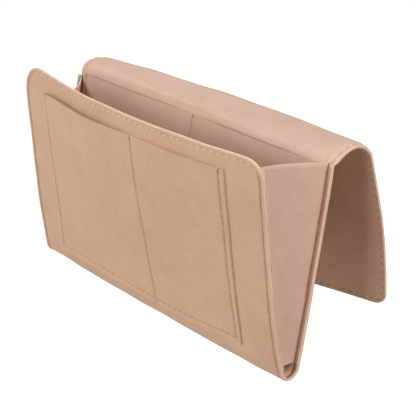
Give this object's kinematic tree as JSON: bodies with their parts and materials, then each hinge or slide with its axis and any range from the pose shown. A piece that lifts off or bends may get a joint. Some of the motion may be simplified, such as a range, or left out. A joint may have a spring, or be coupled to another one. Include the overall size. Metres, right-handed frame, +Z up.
{
  "type": "hanging storage organizer",
  "caption": "Felt caddy that hangs over a sofa arm or bed rail: a pouch with folding gussets, a split pocket inside and one outside, and a flap behind.",
  "frame": {"origin": "the inner corner of the fold that sits on the arm, where the back wall's rear face meets the bridge's underside, at mid-width", "axes": "+X along the caddy to its right end as seen from the front, +Y from the front panel to the flap, +Z up as it hangs"},
  "size_m": [0.32, 0.1578, 0.191],
  "materials": {
    "felt_shell": "matt felt",
    "felt_lining": "matt felt",
    "felt_pocket": "matt felt",
    "felt_gusset": "matt felt"
  },
  "bodies": {
    "back": {"back_wall_shell": "felt_shell", "back_wall_lining": "felt_lining", "bottom_fold_shell": "felt_shell", "bottom_fold_lining": "felt_lining", "inner_pocket_panel": "felt_pocket", "right_gusset_back_flange": "felt_gusset", "left_gusset_back_flange": "felt_gusset"},
    "front": {"front_panel_shell": "felt_shell", "front_panel_lining": "felt_lining", "front_pocket_panel": "felt_pocket", "right_gusset_front_flange": "felt_gusset", "left_gusset_front_flange": "felt_gusset"},
    "bridge": {"bridge_shell": "felt_shell", "bridge_lining": "felt_lining"},
    "flap": {"flap_shell": "felt_shell", "flap_lining": "felt_lining"},
    "right_gusset_front_half": {"right_gusset_front_half": "felt_gusset"},
    "right_gusset_back_half": {"right_gusset_back_half": "felt_gusset"},
    "left_gusset_front_half": {"left_gusset_front_half": "felt_gusset"},
    "left_gusset_back_half": {"left_gusset_back_half": "felt_gusset"}
  },
  "joints": [
    {"name": "front_fold", "type": "hinge", "parent": "back", "child": "front", "pos_m": [0, -0.05086, -0.15916], "axis": [-1, 0.0001, -0.0006], "range_deg": [0, 9]},
    {"name": "arm_fold", "type": "hinge", "parent": "back", "child": "bridge", "pos_m": [0, 0, 0], "axis": [1, 0, 0], "range_deg": [-8, 40]},
    {"name": "flap_ridge", "type": "hinge", "parent": "bridge", "child": "flap", "pos_m": [0, 0.01099, 0.00753], "axis": [0.9982, 0.0605, 0.0039], "range_deg": [-14, 90]},
    {"name": "right_gusset_front_fold", "type": "hinge", "parent": "front", "child": "right_gusset_front_half", "pos_m": [0.15325, -0.06176, -0.07248], "axis": [0, -0.1366, 0.9906], "range_deg": [0, 50.9]},
    {"name": "right_gusset_back_fold", "type": "hinge", "parent": "back", "child": "right_gusset_back_half", "pos_m": [0.15325, -0.02131, -0.07863], "axis": [0, -0.2096, -0.9778], "range_deg": [0, 45.5]},
    {"name": "left_gusset_front_fold", "type": "hinge", "parent": "front", "child": "left_gusset_front_half", "pos_m": [-0.15325, -0.05709, -0.0722], "axis": [0, 0.0834, -0.9965], "range_deg": [0, 40.1]},
    {"name": "left_gusset_back_fold", "type": "hinge", "parent": "back", "child": "left_gusset_back_half", "pos_m": [-0.15325, -0.02131, -0.07863], "axis": [0, 0.2096, 0.9778], "range_deg": [0, 36.5]}
  ],
  "couplings": [
    {"joint": "right_gusset_front_fold", "follows": "front_fold", "ratio": 5.6},
    {"joint": "right_gusset_back_fold", "follows": "front_fold", "ratio": 5},
    {"joint": "left_gusset_front_fold", "follows": "front_fold", "ratio": 4.4},
    {"joint": "left_gusset_back_fold", "follows": "front_fold", "ratio": 4}
  ]
}
